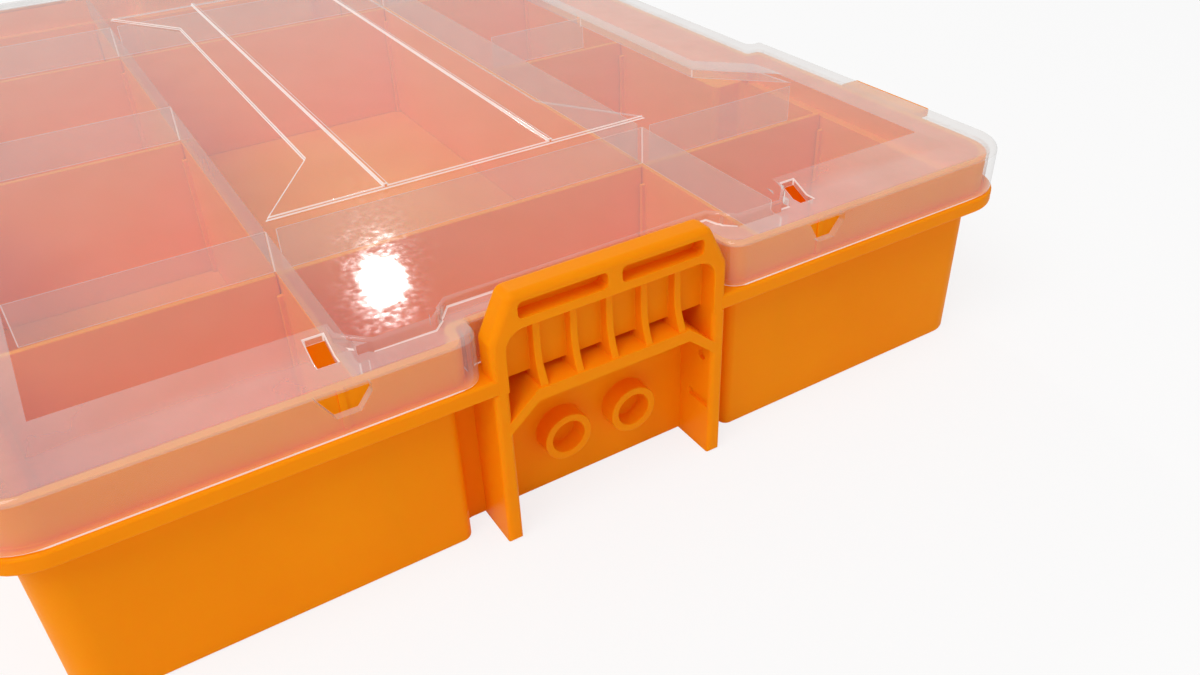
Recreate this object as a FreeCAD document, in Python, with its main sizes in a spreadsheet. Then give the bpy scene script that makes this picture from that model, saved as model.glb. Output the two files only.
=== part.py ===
"""Shallow organizer case: moulded tray, clear hinged lid, loose dividers, latches and carry handle.

Millimetres. The origin is on the surface that the case stands on, under its middle.
+X runs to the right, -Y to the front with the handle, +Z up.
"""
import FreeCAD, Part
import Sketcher
import math
import os
from types import SimpleNamespace

os.makedirs("parts", exist_ok=True)
doc = FreeCAD.newDocument("organizer_case")
sheet = doc.addObject("Spreadsheet::Sheet", "sizes")


class Size:
    """A length, with the sheet expression that gives it."""

    def __init__(self, text, value):
        self.text = text
        self.value = value

    def joined(self, sign, other, value):
        return Size(f"({self.text} {sign} {as_size(other).text})", value)

    def __add__(self, other):
        return self.joined("+", other, self.value + as_size(other).value)

    def __sub__(self, other):
        return self.joined("-", other, self.value - as_size(other).value)

    def __mul__(self, other):
        return self.joined("*", other, self.value * as_size(other).value)

    def __truediv__(self, other):
        return self.joined("/", other, self.value / as_size(other).value)

    def __neg__(self):
        return Size(f"(0 - {self.text})", -self.value)


class Slant(Size):
    """A corner that is cut straight across, where a plain size rounds it."""


def as_size(number):
    return number if isinstance(number, Size) else Size(str(number), float(number))


# Driving sizes: name, millimetres, what it measures.
driving_sizes = [
    ("case_length", 330, "ledge, left to right"),
    ("case_depth", 256, "ledge, front to rear"),
    ("corner_round", 14, "ledge corner seen from above"),
    ("wall", 2, "side wall thickness"),
    ("floor", 2, "floor thickness"),
    ("ledge_low", 42, "underside of the ledge above the ground"),
    ("ledge_thick", 4, "ledge thickness"),
    ("ledge_reach", 6.3, "ledge beyond the side wall"),
    ("rim_thick", 2, "upright rim inside the lid's skirt"),
    ("rim_height", 9.5, "rim above the ledge"),
    ("rim_gap", 0.7, "between the rim and the lid's skirt"),
    ("ridge_wide", 1.4, "upright ridge on the rim behind a window"),
    ("ridge_rise", 0.4, "upright ridge on the rim behind a window"),
    ("recess_half", 57, "half the width of the handle recess"),
    ("recess_ledge", 4.7, "set-back of ledge and lid in the handle recess"),
    ("recess_wall", 11.5, "set-back of the front wall in the handle recess"),
    ("recess_round", 1.6, "upright corners of the handle recess"),
    ("ledge_round", 0.8, "edges of the ledge"),
    ("ledge_turn", 0.9, "corners of the ledge's openings at the ears"),
    ("foot_round", 1, "edge between the walls and the underside"),
    ("bracket_width", 60, "side bracket over both ears"),
    ("bracket_top", 65, "top of the side bracket above the ground"),
    ("ear_thick", 3.6, "ear of the side bracket"),
    ("ear_round", 1.2, "front edge of an ear"),
    ("bar_depth", 6.5, "top bar, front to back"),
    ("bar_height", 8.5, "top bar, bottom to top"),
    ("bar_slant_wide", 5, "slanted end of the top bar, along the case"),
    ("bar_slant_tall", 10.5, "slanted end of the top bar, in height"),
    ("bar_round", 1.6, "top edges of the bar"),
    ("bar_corner", 2.4, "corners of the bar's slanted ends"),
    ("plate_thick", 1.5, "plate behind the bracket's cells"),
    ("cell_round", 4.5, "upper corners of the cells"),
    ("seat_thick", 1.2, "lid seat behind the plate"),
    ("slot_length", 21.4, "blind slot in the top bar"),
    ("slot_height", 4, "blind slot in the top bar"),
    ("slot_deep", 4, "blind slot in the top bar"),
    ("slot_apart", 3.5, "between the two slots"),
    ("slot_round", 1.2, "corner of a slot"),
    ("shelf_top", 40, "bracket shelf above the ground"),
    ("shelf_thick", 3, "bracket shelf thickness"),
    ("shelf_flat", 39.6, "level stretch of the shelf"),
    ("shelf_fall", 6.4, "drop of the shelf's ends at the ears"),
    ("rib_pitch", 9, "bracket ribs, centre to centre"),
    ("rib_thick", 1.8, "bracket rib thickness"),
    ("rib_set", 2.6, "upper front edge of a rib behind the bracket's face"),
    ("rib_toe", 0.4, "foot of a rib behind the bracket's face"),
    ("rib_sweep", 9, "height of a rib's curved foot"),
    ("pocket_gap", 6, "between an ear and the end of the side wall"),
    ("pocket_deep", 12.4, "recessed wall behind the bracket's face"),
    ("pocket_round", 2.5, "upright corners of the pocket"),
    ("boss_pitch", 18.2, "bracket bosses, centre to centre"),
    ("boss_height", 16.8, "boss centre above the ground"),
    ("boss_outer", 12.4, "boss diameter"),
    ("boss_bore", 8.5, "boss bore diameter"),
    ("boss_reach", 4.8, "boss length"),
    ("dimple_bore", 2.8, "round dimple in an ear"),
    ("dimple_in", 4, "round dimple behind the bracket's face"),
    ("groove_in", 5, "slot dimple behind the bracket's face"),
    ("dimple_height", 28.4, "round dimple above the ground"),
    ("dimple_deep", 1, "depth of both dimples"),
    ("groove_length", 7.4, "slot dimple in an ear"),
    ("groove_tall", 2.4, "slot dimple in an ear"),
    ("groove_height", 15, "slot dimple above the ground"),
    ("lid_inset", 0.5, "lid skirt behind the ledge's edge"),
    ("lid_gap", 0.3, "between the lid and the ledge"),
    ("lid_wall", 1.8, "lid thickness"),
    ("band_top", 58, "low outer band of the lid above the ground"),
    ("lid_top", 61, "raised panel of the lid above the ground"),
    ("skirt_round", 1.5, "top edge of the skirt"),
    ("notch_gap", 1, "between the lid and the side bracket"),
    ("notch_round", 5, "mouth corners of the lid's bracket notch"),
    ("panel_band", 6.5, "raised panel behind the skirt, beside the bracket"),
    ("panel_wide", 57, "half the width of the panel's side tongues"),
    ("panel_slant", 6, "slanted corners of the side tongues"),
    ("panel_cove", 5.1, "raised panel behind the bracket notch"),
    ("panel_cove_wide", 4.5, "raised panel beside the bracket notch"),
    ("panel_edge", 0.8, "top edge of the side tongues"),
    ("slope_foot", 10.1, "foot of the panel's slope behind the skirt"),
    ("slope_run", 6.7, "width of the panel's slope"),
    ("slope_front", 5, "extra set-back of the slope along the front"),
    ("panel_recess", 13.4, "set-back of the raised panel at the handle"),
    ("panel_recess_half", 67, "half the width of the panel's set-back"),
    ("band_hole_wide", 4, "hole in the lid's band beside a window"),
    ("band_hole_long", 7.5, "hole in the lid's band beside a window"),
    ("band_hole_in", 7.5, "hole behind the skirt"),
    ("column_in", 68, "outer cross dividers from the ledge's ends"),
    ("row", 53, "long dividers from the middle"),
    ("lid_rib_thick", 2.2, "rib under the lid"),
    ("lid_rib_gap", 1, "between a lid rib and the divider below it"),
    ("field_rise", 0.8, "raised middle field of the lid"),
    ("field_half", 34.5, "half the width of the middle field at its waist"),
    ("field_taper", 28, "length of the middle field's flared ends"),
    ("bead_apart", 46.6, "borders of the label panel, centre to centre"),
    ("bead_wide", 1.2, "label panel border"),
    ("bead_rise", 0.6, "label panel border"),
    ("window_place", 60, "skirt windows from the middle"),
    ("window_low", 50.7, "window sill above the ground"),
    ("window_top_wide", 11, "window at its top"),
    ("window_sill_wide", 4.8, "window at its sill"),
    ("window_slant", 3.3, "lean of the window's inner edge"),
    ("window_chamfer", 3.6, "height of the window's outer chamfer"),
    ("divider_thick", 1.6, "divider plate"),
    ("divider_top", 47, "dividers above the ground"),
    ("divider_gap", 0.3, "between a divider and what guides it"),
    ("guide_deep", 1.5, "divider guide, off the wall"),
    ("guide_thick", 1.2, "divider guide, along the wall"),
    ("hinge_in", 65, "hinges from the ledge's ends"),
    ("hinge_out", 4.2, "hinge axis behind the ledge's edge"),
    ("hinge_rise", 2, "hinge axis above the ledge's top"),
    ("knuckle_outer", 8, "hinge knuckle diameter"),
    ("lid_knuckle", 15, "length of the lid's knuckle"),
    ("tray_knuckle", 11, "length of each tray knuckle"),
    ("knuckle_gap", 0.3, "between knuckles"),
    ("hinge_pin", 3, "hinge pin diameter"),
    ("pin_play", 0.05, "running clearance round a pin"),
    ("latch_in", 53, "latches from the ledge's ends"),
    ("latch_width", 30, "latch"),
    ("latch_axis_out", 0.6, "latch axis before the ledge's edge"),
    ("latch_axis_low", 7, "latch axis below the ledge"),
    ("latch_barrel", 6.4, "latch barrel diameter"),
    ("latch_thick", 2.6, "latch plate"),
    ("latch_pin", 3, "latch pin diameter"),
    ("latch_lug", 3, "latch lug thickness"),
    ("latch_gap", 0.4, "between the latch and what it passes"),
    ("catch_deep", 1.7, "catch ridge on the lid's skirt"),
    ("catch_tall", 3.2, "catch ridge on the lid's skirt"),
    ("catch_low", 2, "catch ridge above the lid's lower edge"),
    ("hook_tall", 2.6, "latch hook over the catch"),
    ("finger_lip", 2.4, "latch lip for the finger"),
    ("handle_drop", 33, "carry handle, axis to grip edge"),
    ("handle_axis_in", 6, "handle axis behind the ledge's edge in the recess"),
    ("handle_axis_low", 6, "handle axis below the ledge"),
    ("grip_tall", 10, "handle grip"),
    ("handle_thick", 9, "handle, front to back"),
    ("arm_wide", 8, "handle arm"),
    ("handle_round", 2.5, "handle edges"),
    ("handle_pin", 4, "handle pin diameter"),
    ("handle_lug", 4, "handle lug thickness"),
    ("handle_gap", 0.4, "between the handle and its lugs"),
]
for row, (alias, millimetres, meaning) in enumerate(driving_sizes, start=1):
    sheet.set(f"A{row}", meaning)
    sheet.set(f"B{row}", str(millimetres))
    sheet.setAlias(f"B{row}", alias)
doc.recompute()
s = SimpleNamespace(**{alias: Size(f"sizes.{alias}", float(sheet.get(alias))) for alias, _, _ in driving_sizes})

ALONG_X = FreeCAD.Rotation(FreeCAD.Vector(0, 1, 0), 90)
ALONG_Y = FreeCAD.Rotation(FreeCAD.Vector(1, 0, 0), -90)
UPRIGHT_YZ = FreeCAD.Rotation(FreeCAD.Vector(1, 1, 1), 120)
UPRIGHT_XZ = FreeCAD.Rotation(FreeCAD.Vector(1, 0, 0), 90)
LEVEL = FreeCAD.Rotation()
RIGHTWARD = FreeCAD.Vector(1, 0, 0)
REARWARD = FreeCAD.Vector(0, 1, 0)
UPWARD = FreeCAD.Vector(0, 0, 1)
OVERLAP = as_size(1)
SLANT_SHARE = as_size(0.45)
NEAR = 0.01


def bind(thing, prop, size):
    thing.setExpression(prop, as_size(size).text)


def put(thing, x, y, z):
    for axis, size in (("x", x), ("y", y), ("z", z)):
        bind(thing, "Placement.Base." + axis, size)


def block(name, x, y, z):
    """A box; each of x, y and z is its low and high end."""
    solid = doc.addObject("Part::Box", name)
    bind(solid, "Length", as_size(x[1]) - x[0])
    bind(solid, "Width", as_size(y[1]) - y[0])
    bind(solid, "Height", as_size(z[1]) - z[0])
    put(solid, x[0], y[0], z[0])
    return solid


def rod(name, diameter, start, length, turn):
    """A round bar from a start point, along the axis that its turn gives."""
    solid = doc.addObject("Part::Cylinder", name)
    solid.Placement = FreeCAD.Placement(FreeCAD.Vector(), turn)
    bind(solid, "Radius", as_size(diameter) / 2)
    bind(solid, "Height", length)
    put(solid, *start)
    return solid


def fuse(name, solids):
    joined = doc.addObject("Part::MultiFuse", name)
    joined.Shapes = solids
    joined.Refine = True
    return joined


def cut(name, base, tools):
    tool = tools[0] if len(tools) == 1 else fuse(name + "_tools", tools)
    rest = doc.addObject("Part::Cut", name)
    rest.Base = base
    rest.Tool = tool
    rest.Refine = True
    return rest


def mirrored(name, source):
    """The same shape on the other side of the case, across X."""
    copy = doc.addObject("Part::Mirroring", name)
    copy.Source = source
    copy.Normal = FreeCAD.Vector(1, 0, 0)
    return copy


def rounded(name, base, radius, wanted):
    """Rounds the edges of a solid whose middle point the test picks."""
    doc.recompute()
    edges = [number for number, edge in enumerate(base.Shape.Edges, start=1) if wanted(edge)]
    shape = doc.addObject("Part::Fillet", name)
    shape.Base = base
    shape.Edges = [(number, radius.value, radius.value) for number in edges]
    return shape


def at_level(height):
    """A test that picks the level edges at a height."""
    return lambda edge: abs(edge.CenterOfMass.z - height.value) < NEAR and edge.BoundBox.ZLength < NEAR


def pad(name, sketch, direction, depth):
    solid = doc.addObject("Part::Extrusion", name)
    solid.Base = sketch
    solid.DirMode = "Custom"
    solid.Dir = direction
    solid.Solid = True
    bind(solid, "LengthFwd", depth)
    return solid


def dimension(sketch, label, constraint, size):
    index = sketch.addConstraint(constraint)
    sketch.renameConstraint(index, label)
    sketch.setExpression("Constraints." + label, size.text)


def plan_pad(name, edges, low, high):
    """An upright solid whose plan is a closed run of square edges with rounded or slanted corners.

    The edges go round anticlockwise; each is (axis it is fixed on, place, corner at its end).
    """
    sketch = doc.addObject("Sketcher::SketchObject", name + "_plan")
    count = len(edges)
    corners = []
    for index in range(count):
        axis, place, _ = edges[index]
        _, next_place, _ = edges[(index + 1) % count]
        pair = (place.value, next_place.value) if axis == "x" else (next_place.value, place.value)
        corners.append(FreeCAD.Vector(pair[0], pair[1], 0))
    ways = [(corners[index] - corners[index - 1]).normalize() for index in range(count)]
    for index in range(count):
        before = edges[index - 1][2].value
        after = edges[index][2].value
        start = corners[index - 1] + ways[index] * before
        end = corners[index] - ways[index] * after
        sketch.addGeometry(Part.LineSegment(start, end))
    left_turns = []
    for index in range(count):
        onward = ways[(index + 1) % count]
        radius = edges[index][2].value
        start = corners[index] - ways[index] * radius
        end = corners[index] + onward * radius
        left = ways[index].cross(onward).z > 0
        left_turns.append(left)
        if isinstance(edges[index][2], Slant):
            sketch.addGeometry(Part.LineSegment(start, end))
            continue
        centre = start + onward * radius
        first, last = (start, end) if left else (end, start)
        from_angle = math.atan2(first.y - centre.y, first.x - centre.x)
        to_angle = math.atan2(last.y - centre.y, last.x - centre.x)
        circle = Part.Circle(centre, FreeCAD.Vector(0, 0, 1), radius)
        sketch.addGeometry(Part.ArcOfCircle(circle, from_angle, to_angle))
    for index in range(count):
        axis, place, turn = edges[index]
        corner = count + index
        slanted = isinstance(turn, Slant)
        entry, leave = (1, 2) if slanted or left_turns[index] else (2, 1)
        meeting = "Coincident" if slanted else "Tangent"
        sketch.addConstraint(Sketcher.Constraint(meeting, index, 2, corner, entry))
        sketch.addConstraint(Sketcher.Constraint(meeting, corner, leave, (index + 1) % count, 1))
        sketch.addConstraint(Sketcher.Constraint("Vertical" if axis == "x" else "Horizontal", index))
    for index in range(count):
        axis, place, turn = edges[index]
        corner = count + index
        kind = "DistanceX" if axis == "x" else "DistanceY"
        dimension(sketch, f"place{index}", Sketcher.Constraint(kind, -1, 1, index, 1, place.value), place)
        if not isinstance(turn, Slant):
            dimension(sketch, f"round{index}", Sketcher.Constraint("Radius", corner, turn.value), turn)
            continue
        run = ways[index] + ways[(index + 1) % count]
        for label, kind, way in (("across", "DistanceX", run.x), ("along", "DistanceY", run.y)):
            nearer, farther = (1, 2) if way > 0 else (2, 1)
            constraint = Sketcher.Constraint(kind, corner, nearer, corner, farther, turn.value)
            dimension(sketch, f"{label}{index}", constraint, turn)
    bind(sketch, "Placement.Base.z", low)
    return pad(name, sketch, UPWARD, as_size(high) - low)


def profile_pad(name, points, turn, start, direction, depth):
    """A prism on a straight-sided outline, drawn upright or flat as its turn says."""
    sketch = doc.addObject("Sketcher::SketchObject", name + "_outline")
    places = [FreeCAD.Vector(as_size(a).value, as_size(b).value, 0) for a, b in points]
    count = len(points)
    for index in range(count):
        sketch.addGeometry(Part.LineSegment(places[index], places[(index + 1) % count]))
    for index in range(count):
        sketch.addConstraint(Sketcher.Constraint("Coincident", index, 2, (index + 1) % count, 1))
    for index, (a, b) in enumerate(points):
        for label, kind, size in (("a", "DistanceX", as_size(a)), ("b", "DistanceY", as_size(b))):
            constraint = Sketcher.Constraint(kind, -1, 1, index, 1, size.value)
            dimension(sketch, f"{label}{index}", constraint, size)
    sketch.Placement = FreeCAD.Placement(FreeCAD.Vector(), turn)
    put(sketch, *start)
    return pad(name, sketch, direction, depth)


# Levels and lines that several pieces share.
half_length = s.case_length / 2
half_depth = s.case_depth / 2
column = half_length - s.column_in
hinge_place = half_length - s.hinge_in
latch_place = half_length - s.latch_in
ledge_top = s.ledge_low + s.ledge_thick
rim_top = ledge_top + s.rim_height
bracket_half = s.bracket_width / 2
cell_half = bracket_half - s.ear_thick
notch_half = bracket_half + s.notch_gap
notch_deep = s.bar_depth + s.notch_gap
bar_low = s.bracket_top - s.bar_height
recess_front = half_depth - s.recess_ledge
lid_rib_low = s.divider_top + s.lid_rib_gap


def case_plan(inset, notch, recess, rounds):
    """The case's plan, moved in by inset, with its two side notches and its front recess.

    notch and recess are each (half width, depth from the ledge's edge).
    rounds are those of the outer corners, the notch's mouth and inner corners and the recess's corners.
    """
    x_edge = half_length - inset
    y_edge = half_depth - inset
    corner, mouth, inner, recess_turn = rounds
    recess_line = recess[1] - half_depth
    notch_line = half_length - notch[1]
    edges = [("y", -y_edge, recess_turn), ("x", -recess[0], recess_turn)]
    edges += [("y", recess_line, recess_turn), ("x", recess[0], recess_turn), ("y", -y_edge, corner)]
    edges += [("x", x_edge, mouth), ("y", -notch[0], inner), ("x", notch_line, inner)]
    edges += [("y", notch[0], mouth), ("x", x_edge, corner), ("y", y_edge, corner)]
    edges += [("x", -x_edge, mouth), ("y", notch[0], inner), ("x", -notch_line, inner)]
    edges += [("y", -notch[0], mouth), ("x", -x_edge, corner)]
    return edges


def skirt_plan(inward):
    """Plan of the lid's skirt, or of what runs inside it by a given distance."""
    inset = s.lid_inset + inward
    notch = (notch_half + inward, notch_deep + inward)
    recess = (s.recess_half + inset, s.recess_ledge + inset)
    inner = (notch_deep - s.lid_inset - s.notch_round + inward) / 2
    rounds = (s.corner_round - inset, s.notch_round - inward / 2, inner, s.recess_round)
    return case_plan(inset, notch, recess, rounds)


def wall_plan(inward):
    """Plan of the tray's side wall, with the bracket pockets and the deep handle recess."""
    inset = s.ledge_reach + inward
    notch = (bracket_half + s.pocket_gap + inward, s.pocket_deep + inward)
    recess = (s.recess_half + inward, inset + s.recess_wall)
    rounds = (s.corner_round - inset, s.pocket_round, s.pocket_round, s.pocket_round)
    return case_plan(inset, notch, recess, rounds)


def ledge_plan():
    """Plan of the ledge; its openings at the brackets end inside the ears."""
    notch = (bracket_half - s.ear_thick / 2, s.bar_depth - s.plate_thick)
    recess = (s.recess_half, s.recess_ledge)
    rounds = (s.corner_round, s.ledge_turn, s.ledge_turn, s.recess_round)
    return case_plan(as_size(0), notch, recess, rounds)


# Tray: floor, side walls, ledge and the rim that the lid closes round.
wall_block = plan_pad("wall_block", wall_plan(as_size(0)), as_size(0), ledge_top)
tray_walls = rounded("tray_walls", wall_block, s.foot_round, at_level(as_size(0)))
ledge_block = plan_pad("ledge_block", ledge_plan(), s.ledge_low, ledge_top)


def ledge_edge(edge):
    return at_level(s.ledge_low)(edge) or at_level(ledge_top)(edge)


tray_ledge = rounded("tray_ledge", ledge_block, s.ledge_round, ledge_edge)
rim_in = s.lid_wall + s.rim_gap
tray_rim = plan_pad("tray_rim", skirt_plan(rim_in), ledge_top - OVERLAP, rim_top)
ridges = []
for label, place in (("rear", s.window_place), ("front", -s.window_place)):
    rim_face = s.lid_inset + rim_in - half_length
    ridge = block(
        f"rim_ridge_{label}",
        (rim_face - s.ridge_rise, rim_face + s.rim_thick / 2),
        (place - s.ridge_wide / 2, place + s.ridge_wide / 2),
        (ledge_top - OVERLAP, rim_top),
    )
    ridges += [ridge, mirrored(f"rim_ridge_{label}_right", ridge)]
tray_solid = fuse("tray_solid", [tray_walls, tray_ledge, tray_rim] + ridges)
tray_hollow = plan_pad("tray_hollow", wall_plan(s.wall), s.floor, ledge_top + OVERLAP)
rim_hollow = plan_pad("rim_hollow", skirt_plan(rim_in + s.rim_thick), ledge_top, rim_top + OVERLAP)
under_seat = block(
    "under_seat",
    (-(half_length - s.bar_depth + s.plate_thick + OVERLAP), -(half_length - s.pocket_deep)),
    (-cell_half, cell_half),
    (s.ledge_low - OVERLAP, ledge_top - s.seat_thick),
)
tray_shell = cut(
    "tray_shell", tray_solid, [tray_hollow, rim_hollow, under_seat, mirrored("under_seat_right", under_seat)]
)

# Side bracket, moulded in one with the tray: two ears, a slotted top bar, a ribbed shelf and two bosses.
face = -half_length
pocket_line = face + s.pocket_deep
ear_blocks = []
for side, low in (("rear", cell_half), ("front", -bracket_half)):
    plain_ear = block(
        f"ear_{side}_block", (face, pocket_line + s.wall / 2), (low, low + s.ear_thick), (0, s.ledge_low)
    )

    def front_edge(edge):
        top = abs(edge.CenterOfMass.z - s.ledge_low.value) < NEAR
        return abs(edge.CenterOfMass.x - face.value) < NEAR and not top

    ear_blocks.append(rounded(f"ear_{side}", plain_ear, s.ear_round, front_edge))
arch_outline = [
    (-bracket_half, ledge_top - s.ledge_thick),
    (bracket_half, ledge_top - s.ledge_thick),
    (bracket_half, s.bracket_top - s.bar_slant_tall),
    (bracket_half - s.bar_slant_wide, s.bracket_top),
    (-(bracket_half - s.bar_slant_wide), s.bracket_top),
    (-bracket_half, s.bracket_top - s.bar_slant_tall),
]
arch_block = profile_pad(
    "arch_block", arch_outline, UPRIGHT_YZ, (face, as_size(0), as_size(0)), RIGHTWARD, s.bar_depth
)


def arch_corner(edge):
    """The slanted ends' corners, which run through the bar from front to back."""
    low_z = s.bracket_top.value - s.bar_slant_tall.value - NEAR
    along = abs(edge.CenterOfMass.x - face.value - s.bar_depth.value / 2) < NEAR
    return along and edge.CenterOfMass.z > low_z


arch_soft = rounded("arch_soft", arch_block, s.bar_corner, arch_corner)


def arch_rim(edge):
    """The outline of the bar's front and back above the ledge."""
    return edge.BoundBox.XLength < NEAR and edge.CenterOfMass.z > ledge_top.value


arch_round = rounded("arch_round", arch_soft, s.bar_round, arch_rim)
cells_block = block(
    "cells_block",
    (face - OVERLAP, face + s.bar_depth - s.plate_thick),
    (-cell_half, cell_half),
    (s.shelf_top - s.shelf_fall - s.shelf_thick, bar_low),
)


def cell_corner(edge):
    """The upper corners of the cells, which run from front to back."""
    high = abs(edge.CenterOfMass.z - bar_low.value) < NEAR
    return high and edge.BoundBox.YLength < NEAR


cells = rounded("cells", cells_block, s.cell_round, cell_corner)
slot_blocks = []
for side, low in (("rear", s.slot_apart / 2), ("front", -(s.slot_apart / 2 + s.slot_length))):
    slot_low = s.bracket_top - s.bar_height / 2 - s.slot_height / 2
    plain_slot = block(
        f"slot_{side}_block",
        (face - OVERLAP, face + s.slot_deep),
        (low, low + s.slot_length),
        (slot_low, slot_low + s.slot_height),
    )

    def slot_corner(edge):
        return edge.BoundBox.YLength < NEAR and edge.BoundBox.ZLength < NEAR

    slot_blocks.append(rounded(f"slot_{side}", plain_slot, s.slot_round, slot_corner))
arch = cut("arch", arch_round, [cells] + slot_blocks)

shelf_low = s.shelf_top - s.shelf_thick
shelf_half = s.shelf_flat / 2
shelf_outline = [
    (-cell_half - OVERLAP, shelf_low - s.shelf_fall),
    (-shelf_half, shelf_low),
    (shelf_half, shelf_low),
    (cell_half + OVERLAP, shelf_low - s.shelf_fall),
    (cell_half + OVERLAP, s.shelf_top - s.shelf_fall),
    (shelf_half, s.shelf_top),
    (-shelf_half, s.shelf_top),
    (-cell_half - OVERLAP, s.shelf_top - s.shelf_fall),
]
shelf = profile_pad(
    "shelf",
    shelf_outline,
    UPRIGHT_YZ,
    (face, as_size(0), as_size(0)),
    RIGHTWARD,
    s.pocket_deep + s.wall / 2,
)

# The ribs stand on the shelf; the foot of each sweeps out to the shelf's front edge.
sweep_run = s.rib_set - s.rib_toe
sweep_radius = (s.rib_sweep * s.rib_sweep + sweep_run * sweep_run) / (sweep_run * 2)
rib_upright = s.shelf_top + s.rib_sweep
ribs = []
for place in range(-2, 3):
    middle = s.rib_pitch * place
    sides = (middle - s.rib_thick / 2, middle + s.rib_thick / 2)
    name = f"rib_{place + 3}"
    upper = block(
        name + "_plate",
        (face + s.rib_toe, face + s.bar_depth - s.plate_thick / 2),
        sides,
        (shelf_low, bar_low + OVERLAP),
    )
    lower = block(
        name + "_foot",
        (face + s.rib_toe, pocket_line + s.wall / 2),
        sides,
        (shelf_low, ledge_top - s.seat_thick / 2),
    )
    upright_cut = block(
        name + "_upright_cut", (face - OVERLAP, face + s.rib_set), sides, (rib_upright, s.bracket_top)
    )
    sweep_cut = rod(
        name + "_sweep_cut",
        sweep_radius * 2,
        (face + s.rib_set - sweep_radius, sides[0], rib_upright),
        s.rib_thick,
        ALONG_Y,
    )
    ribs.append(cut(name, fuse(name + "_blank", [upper, lower]), [upright_cut, sweep_cut]))

bosses = []
boss_bores = []
for side, place in (("rear", s.boss_pitch / 2), ("front", -(s.boss_pitch / 2))):
    start = (pocket_line - s.boss_reach, place, s.boss_height)
    bosses.append(rod(f"boss_{side}", s.boss_outer, start, s.boss_reach + s.wall / 2, ALONG_X))
    boss_bores.append(rod(f"boss_bore_{side}", s.boss_bore, start, s.boss_reach, ALONG_X))
dimples = []
for side, low in (("rear", cell_half), ("front", -(cell_half + s.dimple_deep))):
    dimples.append(
        rod(f"dimple_{side}", s.dimple_bore, (face + s.dimple_in, low, s.dimple_height), s.dimple_deep, ALONG_Y)
    )
    dimples.append(
        block(
            f"groove_{side}",
            (face + s.groove_in - s.groove_length / 2, face + s.groove_in + s.groove_length / 2),
            (low, low + s.dimple_deep),
            (s.groove_height - s.groove_tall / 2, s.groove_height + s.groove_tall / 2),
        )
    )
bracket_blank = fuse("bracket_blank", ear_blocks + [arch, shelf] + ribs + bosses)
bracket_left = cut("bracket_left", bracket_blank, boss_bores + dimples)
bracket_right = mirrored("bracket_right", bracket_left)

# Guides for the dividers: pairs of low ribs on the tray's inner walls.
wall_inner_x = half_length - s.ledge_reach - s.wall
wall_inner_y = half_depth - s.ledge_reach - s.wall
recess_inner_y = wall_inner_y - s.recess_wall
guide_reach = s.guide_deep + s.wall / 2
guide_top = ledge_top - s.ledge_thick
guide_from = s.divider_thick / 2 + s.divider_gap
tray_guides = []


def guide_pair(name, axis, line, wall_place, inward):
    """Two guides, one each side of a divider's end; inward is the way into the tray."""
    pairs = []
    root = wall_place - as_size(inward) * s.wall / 2
    tip = wall_place + as_size(inward) * s.guide_deep
    span = (root, tip) if inward > 0 else (tip, root)
    for side in (-1, 1):
        near = line + guide_from if side > 0 else line - guide_from - s.guide_thick
        along = (near, near + s.guide_thick)
        x, y = (span, along) if axis == "x" else (along, span)
        pairs.append(block(f"{name}_{side + 2}", x, y, (s.floor / 2, guide_top)))
    return pairs


for label, line in (("rear", s.row), ("front", -s.row)):
    tray_guides += guide_pair(f"guide_{label}_left", "x", line, -wall_inner_x, 1)
    tray_guides += guide_pair(f"guide_{label}_right", "x", line, wall_inner_x, -1)
column_lines = (("left", -column), ("middle", as_size(0)), ("right", column))
for label, line in column_lines:
    front_wall = recess_inner_y if label == "middle" else wall_inner_y
    tray_guides += guide_pair(f"guide_{label}_rear", "y", line, wall_inner_y, -1)
    tray_guides += guide_pair(f"guide_{label}_front", "y", line, -front_wall, 1)

# Hinge knuckles, latch lugs and handle lugs on the tray.
hinge_y = half_depth + s.hinge_out
hinge_z = ledge_top + s.hinge_rise
knuckle_low = s.lid_knuckle / 2 + s.knuckle_gap
latch_y = -(half_depth + s.latch_axis_out)
latch_z = s.ledge_low - s.latch_axis_low
latch_half = s.latch_width / 2
handle_y = -(recess_front - s.handle_axis_in)
handle_z = s.ledge_low - s.handle_axis_low
handle_half = s.recess_half - s.handle_lug - s.handle_gap * 2
recess_wall_y = half_depth - s.ledge_reach - s.recess_wall
tray_mounts = []
tray_bores = []
for side, place in (("left", -hinge_place), ("right", hinge_place)):
    for end, low in (("inner", place - knuckle_low - s.tray_knuckle), ("outer", place + knuckle_low)):
        name = f"tray_knuckle_{side}_{end}"
        tray_mounts.append(
            rod(name, s.knuckle_outer, (low, hinge_y, hinge_z), s.tray_knuckle, ALONG_X)
        )
        tray_mounts.append(
            block(
                name + "_web",
                (low, low + s.tray_knuckle),
                (half_depth - s.ledge_reach, hinge_y),
                (s.ledge_low, ledge_top),
            )
        )
        tray_mounts.append(
            block(
                name + "_neck",
                (low, low + s.tray_knuckle),
                (hinge_y - s.knuckle_outer / 2, hinge_y),
                (ledge_top - OVERLAP, hinge_z),
            )
        )
    bore_half = knuckle_low + s.tray_knuckle + OVERLAP
    tray_bores.append(
        rod(
            f"hinge_bore_{side}",
            s.hinge_pin,
            (place - bore_half, hinge_y, hinge_z),
            bore_half * 2,
            ALONG_X,
        )
    )
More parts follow.
